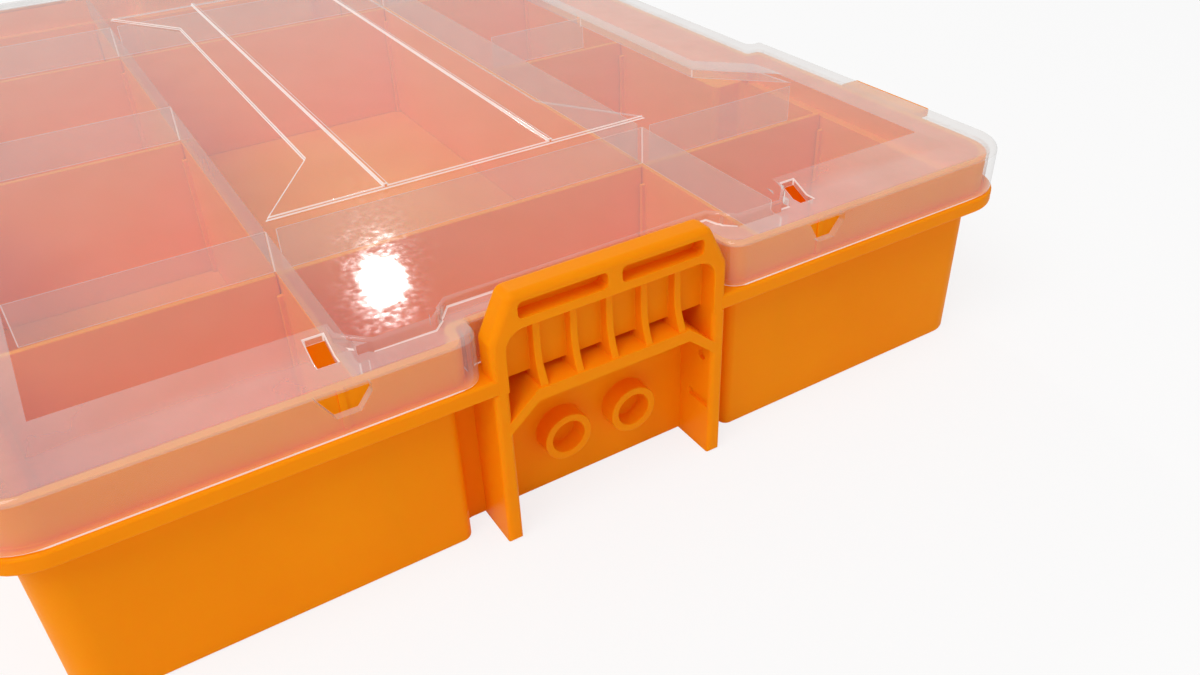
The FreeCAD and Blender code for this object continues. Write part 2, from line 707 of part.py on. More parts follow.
for side, place in (("left", -latch_place), ("right", latch_place)):
    for end, low in (
        ("inner", place - latch_half - s.latch_gap - s.latch_lug),
        ("outer", place + latch_half + s.latch_gap),
    ):
        name = f"latch_lug_{side}_{end}"
        tray_mounts.append(rod(name, s.latch_barrel, (low, latch_y, latch_z), s.latch_lug, ALONG_X))
        tray_mounts.append(
            block(
                name + "_web",
                (low, low + s.latch_lug),
                (latch_y, -(half_depth - s.ledge_reach - s.wall / 2)),
                (latch_z - s.latch_barrel / 2, s.ledge_low + OVERLAP),
            )
        )
    lug_span = latch_half + s.latch_gap + s.latch_lug
    tray_bores.append(
        rod(f"latch_bore_{side}", s.latch_pin, (place - lug_span, latch_y, latch_z), lug_span * 2, ALONG_X)
    )
for side, low in (
    ("left", -(handle_half + s.handle_gap + s.handle_lug)),
    ("right", handle_half + s.handle_gap),
):
    name = f"handle_lug_{side}"
    tray_mounts.append(
        block(
            name,
            (low, low + s.handle_lug),
            (handle_y - s.handle_thick / 2, -(recess_wall_y - s.wall / 2)),
            (handle_z - s.handle_thick / 2, s.ledge_low + OVERLAP),
        )
    )
    tray_bores.append(
        rod(f"handle_bore_{side}", s.handle_pin, (low, handle_y, handle_z), s.handle_lug, ALONG_X)
    )
tray_blank = fuse("tray_blank", [tray_shell, bracket_left, bracket_right] + tray_guides + tray_mounts)
base_tray = cut("tray_finished", tray_blank, tray_bores)
base_tray.Label = "base_tray"

# Lid: skirt, low outer band, raised panel, ribs underneath and knuckles at the rear.
lid_low = ledge_top + s.lid_gap
skirt_block = plan_pad("skirt_block", skirt_plan(as_size(0)), lid_low, s.band_top)
skirt_soft = rounded("skirt_soft", skirt_block, s.skirt_round, at_level(s.band_top))


def tongue_plan(inward):
    """Plan of the panel's stretch between the side brackets, with a cove behind each bracket."""
    side = half_length - s.lid_inset - s.panel_band - inward
    cove_side = half_length - notch_deep - s.panel_cove - inward
    cove_half = notch_half + s.panel_cove_wide + inward
    wide = s.panel_wide - inward
    corner = Slant(s.panel_slant.text, s.panel_slant.value)
    half_step = (side - cove_side) * SLANT_SHARE
    cove = Slant(half_step.text, half_step.value)
    edges = []
    for way in (1, -1):
        places = [("y", -wide, corner), ("x", side, cove), ("y", -cove_half, cove)]
        places += [("x", cove_side, cove), ("y", cove_half, cove), ("x", side, corner)]
        edges += [(axis, place if way > 0 else -place, turn) for axis, place, turn in places]
    return edges


def panel_form(name, inward, low, drop):
    """The raised panel as a solid, or its hollow: a slope all round, side tongues and a front set-back."""
    foot = s.band_top - drop
    top = s.lid_top - drop
    foot_x = half_length - s.lid_inset - s.slope_foot
    rear_foot = half_depth - s.lid_inset - s.slope_foot
    front_foot = rear_foot - s.slope_front
    side_outline = [(-foot_x, low), (foot_x, low), (foot_x, foot), (foot_x - s.slope_run, top)]
    side_outline += [(s.slope_run - foot_x, top), (-foot_x, foot)]
    end_outline = [(-front_foot, low), (rear_foot, low), (rear_foot, foot), (rear_foot - s.slope_run, top)]
    end_outline += [(s.slope_run - front_foot, top), (-front_foot, foot)]
    nought = as_size(0)
    slopes = doc.addObject("Part::MultiCommon", name + "_slopes")
    slopes.Shapes = [
        profile_pad(
            name + "_sides", side_outline, UPRIGHT_XZ, (nought, -half_depth, nought), REARWARD, s.case_depth
        ),
        profile_pad(
            name + "_ends", end_outline, UPRIGHT_YZ, (-half_length, nought, nought), RIGHTWARD, s.case_length
        ),
    ]
    tongue = plan_pad(name + "_tongue", tongue_plan(inward), low, top)
    if not inward.value:
        tongue = rounded(name + "_tongue_soft", tongue, s.panel_edge, at_level(top))
    recess_line = s.slope_run - front_foot + s.panel_recess + inward
    recess_mouth = -front_foot - OVERLAP
    recess_half = s.panel_recess_half + inward
    spread = recess_half + recess_line - recess_mouth
    recess_outline = [(-spread, recess_mouth), (spread, recess_mouth)]
    recess_outline += [(recess_half, recess_line), (-recess_half, recess_line)]
    recess = profile_pad(
        name + "_recess", recess_outline, LEVEL, (nought, nought, foot), UPWARD, top - foot + OVERLAP
    )
    return cut(name, fuse(name + "_full", [slopes, tongue]), [recess])


panel_block = panel_form("panel_block", as_size(0), s.band_top - s.lid_wall / 2, as_size(0))
field_waist = column - s.field_taper
field_outline = [
    (-column, -s.row),
    (-field_waist, -s.field_half),
    (field_waist, -s.field_half),
    (column, -s.row),
    (column, s.row),
    (field_waist, s.field_half),
    (-field_waist, s.field_half),
    (-column, s.row),
]
lid_field = profile_pad(
    "lid_field",
    field_outline,
    LEVEL,
    (as_size(0), as_size(0), s.lid_top - s.lid_wall / 2),
    UPWARD,
    s.lid_wall / 2 + s.field_rise,
)
field_top = s.lid_top + s.field_rise
beads = []
for side, place in (("rear", s.bead_apart / 2), ("front", -(s.bead_apart / 2))):
    beads.append(
        block(
            f"label_bead_{side}",
            (-column, column),
            (place - s.bead_wide / 2, place + s.bead_wide / 2),
            (s.lid_top, field_top + s.bead_rise),
        )
    )
lid_block = fuse("lid_block", [skirt_soft, panel_block, lid_field] + beads)
skirt_hollow = plan_pad("skirt_hollow", skirt_plan(s.lid_wall), lid_low - OVERLAP, s.band_top - s.lid_wall)
panel_hollow = panel_form("panel_hollow", s.lid_wall, s.band_top - s.lid_wall - OVERLAP, s.lid_wall)
lid_shell = cut("lid_shell", lid_block, [skirt_hollow, panel_hollow])

# Ribs under the lid stand over the dividers.
lid_under = s.lid_top - s.lid_wall / 2
rib_end_x = half_length - s.lid_inset - s.panel_band - s.lid_wall / 2
rib_end_y = half_depth - s.lid_inset - s.slope_foot - s.slope_run
rib_end_front = rib_end_y - s.slope_front
lid_ribs = []
for label, line in (("rear", s.row), ("front", -s.row)):
    sides = (line - s.lid_rib_thick / 2, line + s.lid_rib_thick / 2)
    lid_ribs.append(block(f"lid_rib_{label}", (-rib_end_x, rib_end_x), sides, (lid_rib_low, lid_under)))
for label, line in column_lines:
    sides = (line - s.lid_rib_thick / 2, line + s.lid_rib_thick / 2)
    height = (lid_rib_low, lid_under)
    if label == "middle":
        front_end = rib_end_front - s.panel_recess - s.lid_wall / 2
        lid_ribs.append(block("lid_rib_middle_rear", sides, (s.row, rib_end_y), height))
        lid_ribs.append(block("lid_rib_middle_front", sides, (-front_end, -s.row), height))
    else:
        lid_ribs.append(block(f"lid_rib_{label}", sides, (-rib_end_front, rib_end_y), height))

# Knuckles behind the skirt, and catches for the latches on its front.
skirt_rear = half_depth - s.lid_inset
lid_fittings = []
lid_bores = []
for side, place in (("left", -hinge_place), ("right", hinge_place)):
    low = place - s.lid_knuckle / 2
    lid_fittings.append(
        rod(f"lid_knuckle_{side}", s.knuckle_outer, (low, hinge_y, hinge_z), s.lid_knuckle, ALONG_X)
    )
    lid_fittings.append(
        block(
            f"lid_knuckle_{side}_web",
            (low, low + s.lid_knuckle),
            (skirt_rear - s.lid_wall / 2, hinge_y),
            (hinge_z, hinge_z + s.knuckle_outer / 2),
        )
    )
    lid_bores.append(
        rod(
            f"lid_bore_{side}",
            s.hinge_pin + s.pin_play * 2,
            (low, hinge_y, hinge_z),
            s.lid_knuckle,
            ALONG_X,
        )
    )
skirt_front = -(half_depth - s.lid_inset)
catch_low = lid_low + s.catch_low
catch_top = catch_low + s.catch_tall
for side, place in (("left", -latch_place), ("right", latch_place)):
    lid_fittings.append(
        block(
            f"catch_{side}",
            (place - latch_half, place + latch_half),
            (skirt_front - s.catch_deep, skirt_front + s.lid_wall / 2),
            (catch_low, catch_top),
        )
    )

# Windows through the skirt beside each bracket, with one chamfered side.
windows = []
window_top = s.band_top - s.lid_wall
for label, place in (("rear", s.window_place), ("front", -s.window_place)):
    near = place + s.window_top_wide / 2
    far = place - s.window_top_wide / 2
    sill_near = near - s.window_slant
    window_outline = [
        (near, window_top),
        (sill_near, s.window_low),
        (sill_near - s.window_sill_wide, s.window_low),
        (far, s.window_low + s.window_chamfer),
        (far, window_top),
    ]
    window = profile_pad(
        f"window_{label}",
        window_outline,
        UPRIGHT_YZ,
        (-half_length, as_size(0), as_size(0)),
        RIGHTWARD,
        s.lid_inset + s.lid_wall + s.rim_gap / 2,
    )
    windows += [window, mirrored(f"window_{label}_right", window)]
    hole_from = s.lid_inset + s.band_hole_in - half_length
    hole = block(
        f"band_hole_{label}",
        (hole_from, hole_from + s.band_hole_long),
        (place - s.band_hole_wide / 2, place + s.band_hole_wide / 2),
        (s.band_top - s.lid_wall - OVERLAP, s.lid_top),
    )
    windows += [hole, mirrored(f"band_hole_{label}_right", hole)]
lid = cut("lid_finished", fuse("lid_blank", [lid_shell] + lid_ribs + lid_fittings), lid_bores + windows)
lid.Label = "lid"

# Steel pins of the hinges, latches and handle.
parts = [base_tray, lid]
for side, place in (("left", -hinge_place), ("right", hinge_place)):
    pin_half = knuckle_low + s.tray_knuckle
    pin = rod(f"hinge_rod_{side}", s.hinge_pin, (place - pin_half, hinge_y, hinge_z), pin_half * 2, ALONG_X)
    pin.Label = f"hinge_pin_{side}"
    parts.append(pin)

# Latches: a barrel on its pin, a plate in front of the ledge and a hook over the lid's catch.
plate_inner = skirt_front - s.catch_deep - s.latch_gap
plate_outer = plate_inner - s.latch_thick
hook_low = catch_top + s.lid_gap
hook_top = hook_low + s.hook_tall
for side, place in (("left", -latch_place), ("right", latch_place)):
    across = (place - latch_half, place + latch_half)
    barrel = rod(f"latch_barrel_{side}", s.latch_barrel, (across[0], latch_y, latch_z), s.latch_width, ALONG_X)
    plate = block(f"latch_plate_{side}", across, (plate_outer, plate_inner), (latch_z, hook_top))
    hook = block(f"latch_hook_{side}", across, (plate_outer, skirt_front - s.latch_gap), (hook_low, hook_top))
    lip = block(f"latch_lip_{side}", across, (plate_outer - s.finger_lip, plate_inner), (hook_low, hook_top))
    blank = fuse(f"latch_blank_{side}", [barrel, plate, hook, lip])
    bore = rod(
        f"latch_eye_{side}",
        s.latch_pin + s.pin_play * 2,
        (across[0], latch_y, latch_z),
        s.latch_width,
        ALONG_X,
    )
    latch = cut(f"latch_finished_{side}", blank, [bore])
    latch.Label = f"latch_{side}"
    pin_half = latch_half + s.latch_gap + s.latch_lug
    pin = rod(f"latch_rod_{side}", s.latch_pin, (place - pin_half, latch_y, latch_z), pin_half * 2, ALONG_X)
    pin.Label = f"latch_pin_{side}"
    parts += [latch, pin]

# Carry handle: a bail that hangs in the front recess and swings out.
handle_low = handle_z - s.handle_drop
handle_faces = (handle_y - s.handle_thick / 2, handle_y + s.handle_thick / 2)
grip = block("handle_grip", (-handle_half, handle_half), handle_faces, (handle_low, handle_low + s.grip_tall))
handle_pieces = [grip]
eyes = []
pins = []
for side, low in (("left", -handle_half), ("right", handle_half - s.arm_wide)):
    handle_pieces.append(
        block(f"handle_arm_{side}", (low, low + s.arm_wide), handle_faces, (handle_low, handle_z))
    )
    handle_pieces.append(
        rod(f"handle_eye_{side}", s.handle_thick, (low, handle_y, handle_z), s.arm_wide, ALONG_X)
    )
    eyes.append(
        rod(
            f"handle_eye_bore_{side}",
            s.handle_pin + s.pin_play * 2,
            (low, handle_y, handle_z),
            s.arm_wide,
            ALONG_X,
        )
    )
    pin_low = low - s.handle_gap - s.handle_lug if side == "left" else low
    pin_length = s.arm_wide + s.handle_gap + s.handle_lug
    pin = rod(f"handle_rod_{side}", s.handle_pin, (pin_low, handle_y, handle_z), pin_length, ALONG_X)
    pin.Label = f"handle_pin_{side}"
    pins.append(pin)
handle_blank = fuse("handle_blank", handle_pieces)


def handle_edge(edge):
    """The long edges of the grip."""
    low_edge = edge.CenterOfMass.z < handle_low.value + s.grip_tall.value + NEAR
    return low_edge and edge.BoundBox.XLength > s.arm_wide.value and edge.BoundBox.ZLength < NEAR


handle_soft = rounded("handle_soft", handle_blank, s.handle_round, handle_edge)
carry_handle = cut("handle_finished", handle_soft, eyes)
carry_handle.Label = "carry_handle"
parts += [carry_handle] + pins

# Dividers: two long plates, and cross plates between them and the walls.
plate_height = (s.floor, s.divider_top)
guide_height = (s.floor, guide_top)
for label, line in (("rear", s.row), ("front", -s.row)):
    faces = (line - s.divider_thick / 2, line + s.divider_thick / 2)
    reach = wall_inner_x - s.divider_gap
    pieces = [block(f"long_plate_{label}", (-reach, reach), faces, plate_height)]
    for column_label, column_line in column_lines:
        outward = line.value > 0
        inner_too = column_label != "middle"
        for way in (1, -1):
            if (way > 0) != outward and not inner_too:
                continue
            span = (faces[1] - s.divider_thick / 2, faces[1] + s.guide_deep)
            if way < 0:
                span = (faces[0] - s.guide_deep, faces[0] + s.divider_thick / 2)
            for side in (-1, 1):
                near = column_line + guide_from if side > 0 else column_line - guide_from - s.guide_thick
                name = f"long_guide_{label}_{column_label}_{way + 2}_{side + 2}"
                pieces.append(block(name, (near, near + s.guide_thick), span, guide_height))
    divider = fuse(f"long_divider_{label}_plate", pieces)
    divider.Label = f"long_divider_{label}"
    parts.append(divider)
row_face = s.row + s.divider_thick / 2 + s.divider_gap
row_inner_face = s.row - s.divider_thick / 2 - s.divider_gap
for label, line in column_lines:
    across = (line - s.divider_thick / 2, line + s.divider_thick / 2)
    front_wall = recess_inner_y if label == "middle" else wall_inner_y
    spans = [
        ("rear", (row_face, wall_inner_y - s.divider_gap)),
        ("front", (-(front_wall - s.divider_gap), -row_face)),
    ]
    if label != "middle":
        spans.append(("centre", (-row_inner_face, row_inner_face)))
    for row_label, span in spans:
        divider = block(f"cross_plate_{row_label}_{label}", across, span, plate_height)
        divider.Label = f"cross_divider_{row_label}_{label}"
        parts.append(divider)

doc.recompute()
for thing in doc.Objects:
    if "Invalid" in thing.State or "Error" in thing.State:
        raise RuntimeError(f"{thing.Name} failed: {thing.State}")
for part in parts:
    if part.Shape.isNull() or not part.Shape.isValid():
        raise RuntimeError(f"{part.Label} has no valid shape")
for part in parts:
    part.Shape.exportStep(f"parts/{part.Label}.step")
    print(part.Label, len(part.Shape.Solids), round(part.Shape.Volume), part.Shape.BoundBox)
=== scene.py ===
import bpy
import math
from mathutils import Matrix, Vector
from mathutils.kdtree import KDTree


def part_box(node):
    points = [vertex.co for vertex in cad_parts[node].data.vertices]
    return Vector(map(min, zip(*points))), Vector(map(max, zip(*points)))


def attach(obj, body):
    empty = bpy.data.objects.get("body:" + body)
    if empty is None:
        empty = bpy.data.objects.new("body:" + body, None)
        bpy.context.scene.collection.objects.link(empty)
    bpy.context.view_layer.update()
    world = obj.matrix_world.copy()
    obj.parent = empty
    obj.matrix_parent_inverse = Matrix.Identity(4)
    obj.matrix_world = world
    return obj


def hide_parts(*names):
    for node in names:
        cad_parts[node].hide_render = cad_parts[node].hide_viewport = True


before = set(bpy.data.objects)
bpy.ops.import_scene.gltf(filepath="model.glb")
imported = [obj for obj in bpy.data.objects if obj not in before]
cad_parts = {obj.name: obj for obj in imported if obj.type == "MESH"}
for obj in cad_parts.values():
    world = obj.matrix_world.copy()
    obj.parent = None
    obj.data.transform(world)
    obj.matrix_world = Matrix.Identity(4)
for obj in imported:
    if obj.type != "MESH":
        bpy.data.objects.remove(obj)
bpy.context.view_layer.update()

# Camera. It stands where the photograph was taken from: close to the rear left corner, looking down
# over the side bracket. Angles are in degrees, places in metres, sensor and lens in millimetres.
CAMERA_PLACE = Vector((-0.31845, 0.09627, 0.16873))
CAMERA_HEADING = -120.94
CAMERA_TILT_DOWN = 34.16
CAMERA_ROLL = -2.03
CAMERA_SENSOR = 36
CAMERA_LENS = 30.306
CAMERA_NEAREST = 0.01
scene = bpy.context.scene
camera_data = bpy.data.cameras.new("photo_camera")
camera_data.sensor_width = CAMERA_SENSOR
camera_data.lens = CAMERA_LENS
camera_data.clip_start = CAMERA_NEAREST
camera = bpy.data.objects.new("photo_camera", camera_data)
scene.collection.objects.link(camera)
camera.matrix_world = (
    Matrix.Translation(CAMERA_PLACE)
    @ Matrix.Rotation(math.radians(CAMERA_HEADING), 4, "Z")
    @ Matrix.Rotation(math.radians(90 - CAMERA_TILT_DOWN), 4, "X")
    @ Matrix.Rotation(math.radians(CAMERA_ROLL), 4, "Z")
)
scene.camera = camera

# Tray. One injection moulding in opaque amber plastic: floor, walls, ledge, rim and two side brackets.
# Its tool leaves a fine satin grain, faint flow tones and small radii on every edge.
TRAY_EDGE_ROUND = 0.0003
EDGE_STEPS = 2
SHARP_EDGE = math.radians(35)
SMOOTH_UP_TO = math.radians(48)
SAME_PLANE = math.radians(0.5)
SAME_POINT = 0.000002
SQUARE_TO_AXIS = 0.99999
FLAT_FACE_WEIGHT = 80
SHORT_EDGE_ROUNDS = 1.5
FOLD_REACH_ROUNDS = 2
FOLD_LEAST_AREA = 1e-11
FOLD_TURN = 0.6
AMBER_PALE = (0.97, 0.31, 0.003, 1)
AMBER_DEEP = (0.93, 0.272, 0.002, 1)
# Painted light: a faint red-orange emission over all the amber, which lifts its shadows and hollows as
# if light came through the plastic.
AMBER_PAINTED_LIGHT = (0.03, 0.001, 0, 1)
AMBER_GLOW_DEPTH = (0.004, 0.0011, 0.0002)
AMBER_GLOW_SHARE = 0.35
AMBER_SHINE = 0.04
AMBER_ROUGHNESS = (0.36, 0.48)
AMBER_GRAIN = 0.0006
AMBER_GRAIN_STRENGTH = 0.25
AMBER_GRAIN_DEPTH = 0.00004
AMBER_FLOW = 0.05
NOISE_RANGE = (0.3, 0.7)


def only_selected(piece):
    """Object mode, with one piece active and selected."""
    if bpy.context.mode != "OBJECT":
        bpy.ops.object.mode_set(mode="OBJECT")
    bpy.ops.object.select_all(action="DESELECT")
    bpy.context.view_layer.objects.active = piece
    piece.select_set(True)


def nothing_picked(piece, kind):
    """Object mode, with nothing selected in a piece's mesh, ready to pick its faces or its edges."""
    only_selected(piece)
    bpy.ops.object.mode_set(mode="EDIT")
    bpy.ops.mesh.select_mode(type=kind)
    bpy.ops.mesh.select_all(action="DESELECT")
    bpy.ops.object.mode_set(mode="OBJECT")


def pick_faces(piece, wanted):
    """Edit mode, with only the faces selected that pass a test."""
    nothing_picked(piece, "FACE")
    for face in piece.data.polygons:
        face.select = wanted(face)
    bpy.ops.object.mode_set(mode="EDIT")


def pick_sharp_edges(piece):
    """Edit mode, with only the sharp edges selected."""
    nothing_picked(piece, "EDGE")
    bpy.ops.object.mode_set(mode="EDIT")
    bpy.ops.mesh.edges_select_sharp(sharpness=SHARP_EDGE)


def smooth_normals(piece):
    """Smooth shading that keeps the faces along the axes flat."""
    only_selected(piece)
    bpy.ops.object.shade_smooth_by_angle(angle=SMOOTH_UP_TO)
    pick_faces(piece, lambda face: max(abs(part) for part in face.normal) > SQUARE_TO_AXIS)
    bpy.ops.mesh.mod_weighted_strength(set=True, face_strength="STRONG")
    bpy.ops.object.mode_set(mode="OBJECT")
    flat_faces = piece.modifiers.new("flat_faces", "WEIGHTED_NORMAL")
    flat_faces.weight = FLAT_FACE_WEIGHT
    flat_faces.keep_sharp = True
    flat_faces.use_face_influence = True
    bpy.ops.object.modifier_apply(modifier="flat_faces")


def joined_up_copy(node, name, materials):
    """A copy of a CAD piece, with its loose triangles joined up into whole faces."""
    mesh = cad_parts[node].data.copy()
    mesh.materials.clear()
    for material in materials:
        mesh.materials.append(material)
    piece = bpy.data.objects.new(name, mesh)
    scene.collection.objects.link(piece)
    only_selected(piece)
    bpy.ops.mesh.customdata_custom_splitnormals_clear()
    bpy.ops.object.mode_set(mode="EDIT")
    bpy.ops.mesh.select_all(action="SELECT")
    bpy.ops.mesh.remove_doubles(threshold=SAME_POINT)
    bpy.ops.mesh.dissolve_limited(angle_limit=SAME_PLANE, delimit={"NORMAL"})
    bpy.ops.object.mode_set(mode="OBJECT")
    return piece


def folded_corners(mesh):
    """Corners of the triangles that lie the wrong way in their face, where a rounding had no room."""
    mesh.calc_loop_triangles()
    corners = []
    for triangle in mesh.loop_triangles:
        face = mesh.polygons[triangle.polygon_index]
        turned = triangle.normal.dot(face.normal) < FOLD_TURN
        if turned and triangle.area > FOLD_LEAST_AREA:
            corners += [mesh.vertices[corner].co.copy() for corner in triangle.vertices]
    return corners


def softened_copy(node, name, edge_round, materials):
    """A copy of a CAD piece with its sharp edges rounded wherever there is room.

    Edges stay sharp at points where another edge is too short or a rounding has folded over.
    The first material is for its faces, the last one for its rounded edges.
    """
    piece = joined_up_copy(node, name, materials)
    plain = piece.data
    pick_sharp_edges(piece)
    bpy.ops.object.mode_set(mode="OBJECT")
    sharp = [edge.index for edge in plain.edges if edge.select]
    nearby = KDTree(len(plain.vertices))
    for vertex in plain.vertices:
        nearby.insert(vertex.co, vertex.index)
    nearby.balance()
    crowded = set()
    for edge in plain.edges:
        first, last = [plain.vertices[end].co for end in edge.vertices]
        if (first - last).length < edge_round * SHORT_EDGE_ROUNDS:
            crowded.update(edge.vertices)
    while True:
        piece.data = plain.copy()
        nothing_picked(piece, "EDGE")
        for index in sharp:
            piece.data.edges[index].select = crowded.isdisjoint(plain.edges[index].vertices)
        bpy.ops.object.mode_set(mode="EDIT")
        bpy.ops.mesh.bevel(
            offset=edge_round,
            segments=EDGE_STEPS,
            affect="EDGES",
            clamp_overlap=False,
            material=len(materials) - 1,
        )
        bpy.ops.object.mode_set(mode="OBJECT")
        folded = folded_corners(piece.data)
        if not folded:
            break
        for point in folded:
            around = nearby.find_range(point, edge_round * FOLD_REACH_ROUNDS)
            crowded.update(index for _, index, _ in around)
    smooth_normals(piece)
    return piece


def worked_out(tree, operation, first, second):
    """The result of a sum on two values, each a plain number or another node's output."""
    step = tree.nodes.new("ShaderNodeMath")
    step.operation = operation
    for place, value in enumerate((first, second)):
        if isinstance(value, bpy.types.NodeSocket):
            tree.links.new(value, step.inputs[place])
        else:
            step.inputs[place].default_value = value
    return step.outputs["Value"]


def ranged(tree, value, source, target):
    """A value carried over from one range to another."""
    span = tree.nodes.new("ShaderNodeMapRange")
    span.inputs["From Min"].default_value = source[0]
    span.inputs["From Max"].default_value = source[1]
    span.inputs["To Min"].default_value = target[0]
    span.inputs["To Max"].default_value = target[1]
    tree.links.new(value, span.inputs["Value"])
    return span.outputs["Result"]


def moulding_marks_group():
    """Fine tool grain and broad flow tones of a moulded surface, as values from 0 to 1."""
    group = bpy.data.node_groups.new("moulding_marks", "ShaderNodeTree")
    for label in ("Grain", "Flow"):
        group.interface.new_socket(label + " Size", in_out="INPUT", socket_type="NodeSocketFloat")
        group.interface.new_socket(label, in_out="OUTPUT", socket_type="NodeSocketFloat")
    inlet = group.nodes.new("NodeGroupInput")
    outlet = group.nodes.new("NodeGroupOutput")
    place = group.nodes.new("ShaderNodeTexCoord")
    for label, detail in (("Grain", 2), ("Flow", 3)):
        noise = group.nodes.new("ShaderNodeTexNoise")
        noise.inputs["Detail"].default_value = detail
        density = worked_out(group, "DIVIDE", 1, inlet.outputs[label + " Size"])
        group.links.new(place.outputs["Object"], noise.inputs["Vector"])
        group.links.new(density, noise.inputs["Scale"])
        group.links.new(noise.outputs["Fac"], outlet.inputs[label])
    return group


moulding_marks = moulding_marks_group()


def marks_in(tree, grain_size, flow_size):
    """The moulding marks in a material, with their sizes in metres."""
    marks = tree.nodes.new("ShaderNodeGroup")
    marks.node_tree = moulding_marks
    marks.inputs["Grain Size"].default_value = grain_size
    marks.inputs["Flow Size"].default_value = flow_size
    return marks


def new_material(name):
    """A material, with its node tree and the shader of its surface."""
    material = bpy.data.materials.new(name)
    material.use_nodes = True
    return material, material.node_tree, material.node_tree.nodes["Principled BSDF"]


def toned(tree, surface, noise, deep, pale):
    """Faint tones on a surface, between two colours."""
    tone = tree.nodes.new("ShaderNodeMix")
    tone.data_type = "RGBA"
    tone.inputs["A"].default_value = deep
    tone.inputs["B"].default_value = pale
    tree.links.new(ranged(tree, noise, NOISE_RANGE, (0, 1)), tone.inputs["Factor"])
    tree.links.new(tone.outputs["Result"], surface.inputs["Base Color"])


def dulled(tree, surface, noise, roughness):
    """A roughness that wanders between two values."""
    tree.links.new(ranged(tree, noise, NOISE_RANGE, roughness), surface.inputs["Roughness"])


def bumped(tree, surface, noise, strength, depth):
    """Fine relief on a surface, its depth in metres."""
    bump = tree.nodes.new("ShaderNodeBump")
    bump.inputs["Strength"].default_value = strength
    bump.inputs["Distance"].default_value = depth
    tree.links.new(noise, bump.inputs["Height"])
    tree.links.new(bump.outputs["Normal"], surface.inputs["Normal"])


amber_plastic, amber_tree, amber_surface = new_material("amber_plastic")
amber_marks = marks_in(amber_tree, AMBER_GRAIN, AMBER_FLOW)
amber_grain = amber_marks.outputs["Grain"]
toned(amber_tree, amber_surface, amber_marks.outputs["Flow"], AMBER_DEEP, AMBER_PALE)
dulled(amber_tree, amber_surface, amber_grain, AMBER_ROUGHNESS)
bumped(amber_tree, amber_surface, amber_grain, AMBER_GRAIN_STRENGTH, AMBER_GRAIN_DEPTH)
amber_surface.inputs["Specular IOR Level"].default_value = AMBER_SHINE
amber_surface.inputs["Subsurface Weight"].default_value = AMBER_GLOW_SHARE
amber_surface.inputs["Subsurface Radius"].default_value = AMBER_GLOW_DEPTH
amber_surface.inputs["Subsurface Scale"].default_value = 1
# A faint constant red-orange emission: painted light that lifts the amber's shadows and hollows.
amber_surface.inputs["Emission Color"].default_value = AMBER_PAINTED_LIGHT
amber_surface.inputs["Emission Strength"].default_value = 1

tray = softened_copy("base_tray", "tray_moulding", TRAY_EDGE_ROUND, [amber_plastic])
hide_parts("base_tray")
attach(tray, "base")

# Dividers. Thin plates in the tray's amber plastic, moulded one by one, that drop into guides
# on the tray's walls and on the long dividers and are lifted out by hand.
DIVIDER_EDGE_ROUND = 0.0003
for node in sorted(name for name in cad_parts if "divider" in name):
    divider = softened_copy(node, node + "_plate", DIVIDER_EDGE_ROUND, [amber_plastic])
    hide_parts(node)
    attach(divider, "base")

# Lid. One moulding in clear, slightly milky plastic: a skirt that closes over the tray's rim,
# a raised panel, ribs underneath that stand over the dividers, and half of each hinge.
# Ribs, skirt and edges look milkier than the panel and get a painted glow: emission in their milk
# colour, standing in for light that the plastic carries inside.
LID_EDGE_ROUND = 0.0003
LID_MILK = (0.62, 0.57, 0.54, 1)
LID_MILK_PALE = (0.7, 0.65, 0.62, 1)
LID_IOR = 1.49
LID_ROUGHNESS = (0.4, 0.6)
LID_GLOSS_ROUGHNESS = (0.04, 0.1)
LID_GRAIN = 0.0015
LID_FLOW = 0.012
LID_FLOW_STRENGTH = 0.3
LID_FLOW_DEPTH = 0.0003
SLANT_BLEND = 0.35
SLANT_RANGE = (0.2, 0.8)
PANEL_MILK = (0.03, 0.42)
# Painted glow: the strength of each part's emission in the milk colour, none on the panel.
PANEL_PAINTED_GLOW = 0
PANEL_TOP = 0.0605
PANEL_LEVEL = 0.99
RIB_MILK = (0.32, 0.62)
RIB_PAINTED_GLOW = 0.18
SKIRT_MILK = (0.14, 0.4)
SKIRT_PAINTED_GLOW = 0.1
SKIRT_TOP = 0.0572
SKIRT_FOOT = 0.0467
INSIDE_SKIRT = (0.1555, 0.119)
SKIRT_LEAN = 0.1
# The skirt's foot band: milkiest, with the strongest painted glow, which paints a bright line along
# the skirt's lower edge.
EDGE_MILK = (0.7, 0.9)
EDGE_PAINTED_GLOW = 0.6
UNDERSIDE = -0.5
PANEL, RIBS, SKIRT, EDGES = range(4)


def mixed_surfaces(tree, share, first, second):
    """The surface of a material, mixed from two shaders by the share of the second."""
    both = tree.nodes.new("ShaderNodeMixShader")
    tree.links.new(share, both.inputs["Fac"])
    tree.links.new(first, both.inputs[1])
    tree.links.new(second, both.inputs[2])
    tree.links.new(both.outputs["Shader"], tree.nodes["Material Output"].inputs["Surface"])


